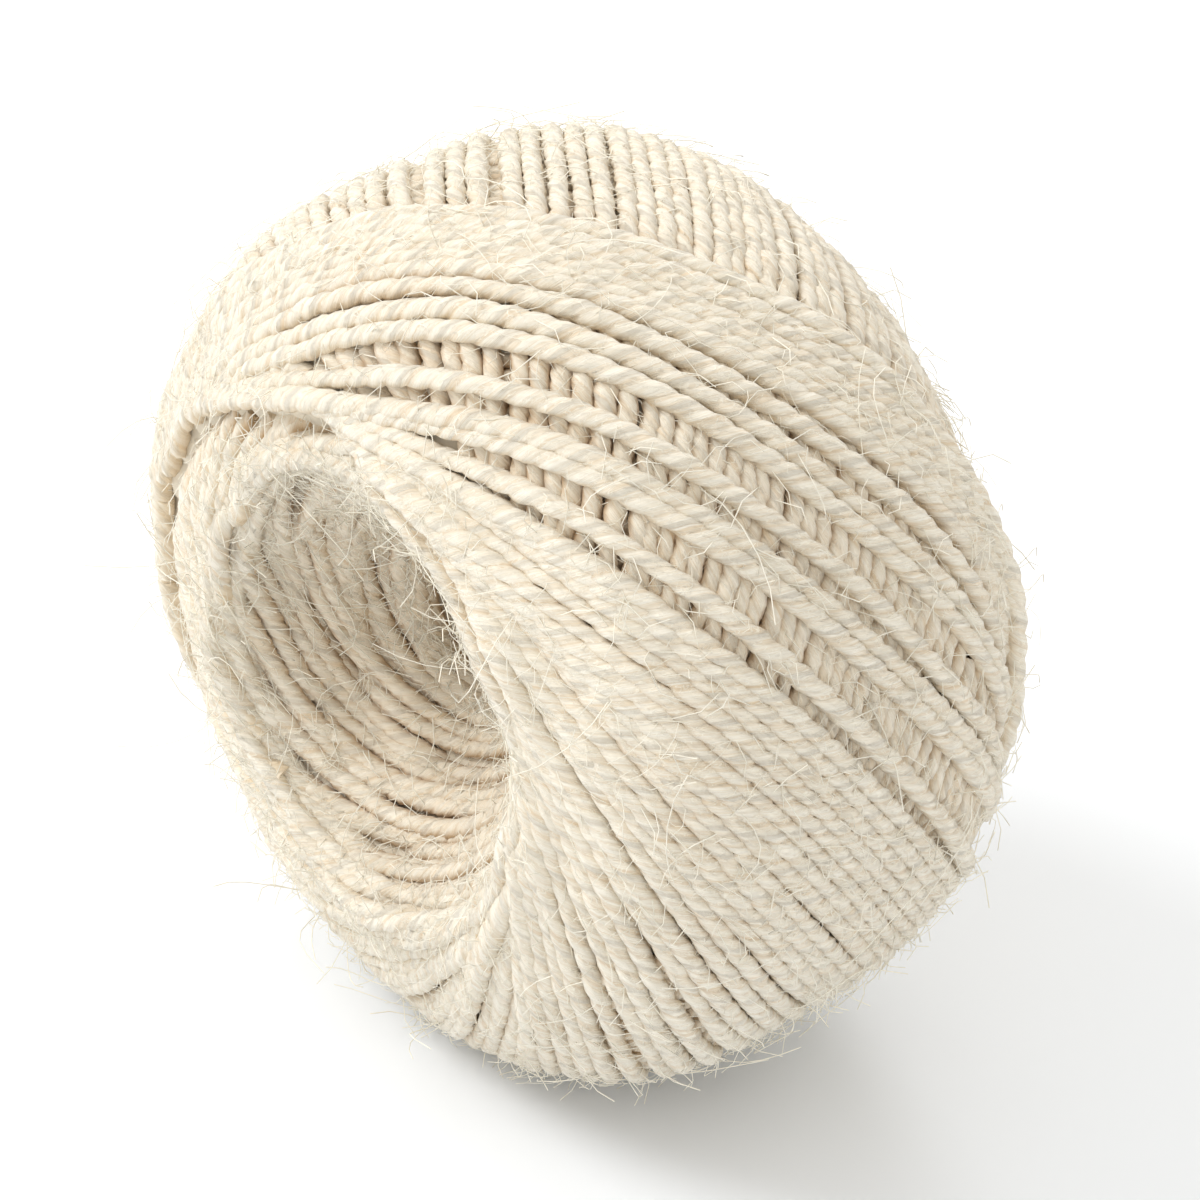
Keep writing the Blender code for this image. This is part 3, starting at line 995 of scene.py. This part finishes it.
def fibre_tree(name, density, fibre_length, segments, highest, curl, follow):
    """Loose fibres over the twine's faces in sight: bent hairs of three sides, in a few forms."""
    tree, start, end = new_tree(name, (
        ("Density", "NodeSocketFloat", density),
        ("Length", "NodeSocketFloat", fibre_length),
        ("Seed", "NodeSocketInt", SEED),
        ("Fibre", "NodeSocketMaterial", None),
    ))
    given = start.outputs
    # Each form starts just under the origin and reaches up to one unit along X
    rng = np.random.default_rng(SEED)
    joined = add_node(tree, "GeometryNodeJoinGeometry")
    for form in range(FIBRE_FORMS):
        rise = rng.uniform(FIBRE_LEAST_RISE, highest) + (highest if form == 0 else 0.0)
        bend = curl * rng.uniform(-0.5, 0.5)
        handle = (0.35, 0.25 * bend, 0.15 + rise * rng.uniform(0.2, 1.1))
        far_handle = (0.8, bend, rise * rng.uniform(0.4, 1.5))
        tip = (rng.uniform(0.5, 1.0), bend + curl * rng.uniform(-0.4, 0.4), rise)
        line = add_node(tree, "GeometryNodeCurvePrimitiveBezierSegment",
                        {"Resolution": segments, "Start": (0.0, 0.0, FIBRE_ROOT), "Start Handle": handle,
                         "End Handle": far_handle, "End": tip})
        circle = add_node(tree, "GeometryNodeCurvePrimitiveCircle",
                          {"Resolution": 3, "Radius": FIBRE_RADIUS / fibre_length})
        hair = add_node(tree, "GeometryNodeCurveToMesh",
                        {"Curve": line.outputs[0], "Profile Curve": circle.outputs[0], "Fill Caps": True})
        single = add_node(tree, "GeometryNodeGeometryToInstance", {"Geometry": hair.outputs[0]})
        tree.links.new(single.outputs[0], joined.inputs[0])
    open_side = add_node(tree, "FunctionNodeCompare", {0: field(tree, "facing"), 1: OPEN_SIDE},
                         data_type="FLOAT", operation="GREATER_THAN")
    spots = add_node(tree, "GeometryNodeDistributePointsOnFaces",
                     {"Mesh": given["Geometry"], "Selection": open_side.outputs[0],
                      "Density": given["Density"], "Seed": given["Seed"]})
    spin = add_node(tree, "FunctionNodeRandomValue", {3: 2.0 * math.pi, "Seed": given["Seed"]},
                    data_type="FLOAT")
    turn = add_node(tree, "ShaderNodeCombineXYZ", {"Z": spin.outputs[1]})
    about = add_node(tree, "FunctionNodeEulerToRotation", {0: turn.outputs[0]})
    upright = add_node(tree, "FunctionNodeAlignRotationToVector",
                       {"Rotation": spots.outputs["Rotation"], "Factor": follow,
                        "Vector": field(tree, "upwards", "FLOAT_VECTOR")}, axis="Z")
    turned = add_node(tree, "FunctionNodeRotateRotation",
                      {0: upright.outputs[0], 1: about.outputs[0]}, rotation_space="LOCAL")
    smallest, largest = FIBRE_SIZES
    size = add_node(tree, "FunctionNodeRandomValue", {2: smallest, 3: largest, "Seed": FIBRE_SIZE_SEED},
                    data_type="FLOAT")
    power = maths(tree, "POWER", size.outputs[1], FIBRE_SIZE_POWER)
    length = maths(tree, "MULTIPLY", power, given["Length"])
    form = add_node(tree, "FunctionNodeRandomValue", {4: 0, 5: FIBRE_FORMS - 1, "Seed": FIBRE_FORM_SEED},
                    data_type="INT")
    placed = add_node(tree, "GeometryNodeInstanceOnPoints",
                      {"Points": spots.outputs["Points"], "Instance": joined.outputs[0],
                       "Pick Instance": True, "Instance Index": form.outputs[2],
                       "Rotation": turned.outputs[0], "Scale": length})
    real = add_node(tree, "GeometryNodeRealizeInstances", {"Geometry": placed.outputs[0]})
    rested = above_floor(tree, real.outputs[0])
    smooth = add_node(tree, "GeometryNodeSetShadeSmooth", {"Geometry": rested})
    dressed = add_node(tree, "GeometryNodeSetMaterial",
                       {"Geometry": smooth.outputs[0], "Material": given["Fibre"]})
    tree.links.new(dressed.outputs[0], end.inputs[0])
    return tree


def finish_piece(piece):
    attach(piece, "root")
    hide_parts(BALL_NODE)


def split_evenly(paths, most):
    """Paths in order, in groups of at most that many points."""
    groups, count = [[]], 0
    for path in paths:
        if count + len(path["points"]) > most:
            groups.append([])
            count = 0
        groups[-1].append(path)
        count += len(path["points"])
    return groups


def make_camera():
    """Seen from the front right and above, as far off as the perspective asks."""
    back = Vector(CAMERA_WAY).normalized()
    camera = new_object("camera", bpy.data.cameras.new("camera"))
    camera.location = Vector((0.0, 0.0, AXIS_HEIGHT)) + back * CAMERA_DISTANCE
    camera.rotation_euler = back.to_track_quat("Z", "Y").to_euler()
    camera.data.sensor_width = CAMERA_SENSOR
    camera.data.angle = CAMERA_ANGLE
    camera.data.shift_x, camera.data.shift_y = CAMERA_SHIFT
    camera.data.clip_start = CAMERA_CLIP
    bpy.context.scene.camera = camera


def area_light(name, place, size, power):
    light = bpy.data.lights.new(name, "AREA")
    light.shape = "DISK"
    light.size = size
    light.energy = power
    light.color = LAMP
    holder = new_object(name, light)
    holder.location = place
    aim = Vector((0.0, 0.0, AXIS_HEIGHT)) - Vector(place)
    holder.rotation_euler = aim.to_track_quat("-Z", "Y").to_euler()


def make_studio():
    world = bpy.data.worlds.new("studio")
    bpy.context.scene.world = world
    world.use_nodes = True
    background = world.node_tree.nodes["Background"]
    background.inputs["Color"].default_value = SKY
    background.inputs["Strength"].default_value = SKY_STRENGTH
    corners = [(x * FLOOR_HALF, y * FLOOR_HALF, 0.0) for x, y in ((-1, -1), (1, -1), (1, 1), (-1, 1))]
    mesh = bpy.data.meshes.new("floor")
    mesh.from_pydata(corners, [], [(0, 1, 2, 3)])
    floor = new_object("floor", mesh)
    pale, _, shader = new_material("pale_floor")
    shader.inputs["Base Color"].default_value = FLOOR
    shader.inputs["Roughness"].default_value = FLOOR_ROUGHNESS
    mesh.materials.append(pale)
    for light in LIGHTS:
        area_light(*light)
    bpy.context.scene.view_settings.view_transform = "Standard"
    bpy.context.scene.view_settings.exposure = 0.0


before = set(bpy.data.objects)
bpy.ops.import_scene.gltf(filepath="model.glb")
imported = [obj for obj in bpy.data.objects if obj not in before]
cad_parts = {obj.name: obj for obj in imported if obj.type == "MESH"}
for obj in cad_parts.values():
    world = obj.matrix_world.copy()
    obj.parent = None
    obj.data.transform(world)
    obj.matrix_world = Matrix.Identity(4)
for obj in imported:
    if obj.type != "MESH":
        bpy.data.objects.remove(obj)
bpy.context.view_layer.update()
make_camera()
make_studio()

draws = np.random.default_rng(SEED)
ages = turn_ages(draws)
surface, outs, sides, reaches = wind_to_size(ages)
show, deep = in_sight(surface, outs, sides, reaches)
jute = twine_material(jute_streaks())
fibre = plain_material("jute_fibre", LOOSE_FIBRE)
tree = lay_twine_tree()
pieces = []
paths = winding_paths(outs, sides, reaches, show, deep, draws)
for number, group in enumerate(split_evenly(paths, PIECE_POINTS)):
    piece = apply_tree(path_mesh("turns_%d" % (number + 1), group), tree, {"Twine": jute})
    pieces.append(piece)
walls = [Wall(side, surface, draws) for side in (1, -1)]
for side, wall, name in zip((1, -1), walls, ("near_hole_turns", "far_hole_turns")):
    holder = path_mesh(name, wall_paths(side, wall, draws))
    pieces.append(apply_tree(holder, tree, {"Twine": jute, "Groove": WALL_GROOVE, "Lumps": WALL_LUMPS}))
twine_pieces = list(pieces)
core = inner_body(surface, walls)
core.data.materials.append(plain_material("old_winding", CREAM))
pieces.append(core)
for kind in FIBRE_KINDS:
    kind_name, density = kind[:2]
    hairs = fibre_tree(*kind)
    for piece in twine_pieces:
        copy = new_object(kind_name + "_of_" + piece.name, piece.data.copy())
        values = {"Fibre": fibre, "Seed": len(pieces)}
        if piece.name.startswith("near_hole"):
            values["Density"] = HOLE_FIBRE_SHARE * density
        pieces.append(apply_tree(copy, hairs, values))
for piece in pieces:
    finish_piece(piece)
